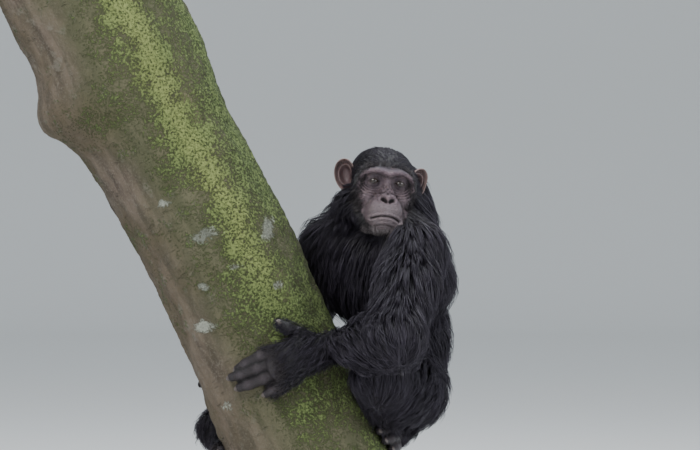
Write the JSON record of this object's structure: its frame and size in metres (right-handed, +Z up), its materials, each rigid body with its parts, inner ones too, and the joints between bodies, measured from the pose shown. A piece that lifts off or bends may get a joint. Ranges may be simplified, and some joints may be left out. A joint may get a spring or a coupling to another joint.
{
  "type": "chimpanzee model on a log perch",
  "caption": "Life-size still model of a young chimpanzee clinging to a leaning cut log, held by short rods on a flat base.",
  "frame": {"origin": "middle of the underside of the stand's base, on the floor", "axes": "+Z up; +X to the right and +Y away for a viewer who faces the animal, so its head looks along -Y"},
  "size_m": [0.9118, 0.7721, 1.3196],
  "materials": {
    "coat": "long black hair with a blue-grey sheen",
    "face_skin": "bare wrinkled skin, paler on the muzzle",
    "ear_skin": "bare pinkish brown skin",
    "hand_skin": "bare dark skin",
    "eye": "glossy dark brown",
    "bark": "bark with green moss and pale lichen",
    "base_board": "satin pale wood",
    "rod": "satin dark grey"
  },
  "bodies": {
    "root": {"stand_base": "base_board", "stand_rod_left": "rod", "stand_rod_right": "rod", "perch_log": "bark", "head": "face_skin", "neck": "coat", "torso": "coat", "upper_arm_left": "coat", "forearm_left": "coat", "thigh_left": "coat", "shin_left": "coat", "upper_arm_right": "coat", "forearm_right": "coat", "thigh_right": "coat", "shin_right": "coat", "eye_left": "eye", "ear_left": "ear_skin", "hand_left": "hand_skin", "foot_left": "hand_skin", "eye_right": "eye", "ear_right": "ear_skin", "hand_right": "hand_skin", "foot_right": "hand_skin"}
  },
  "joints": []
}
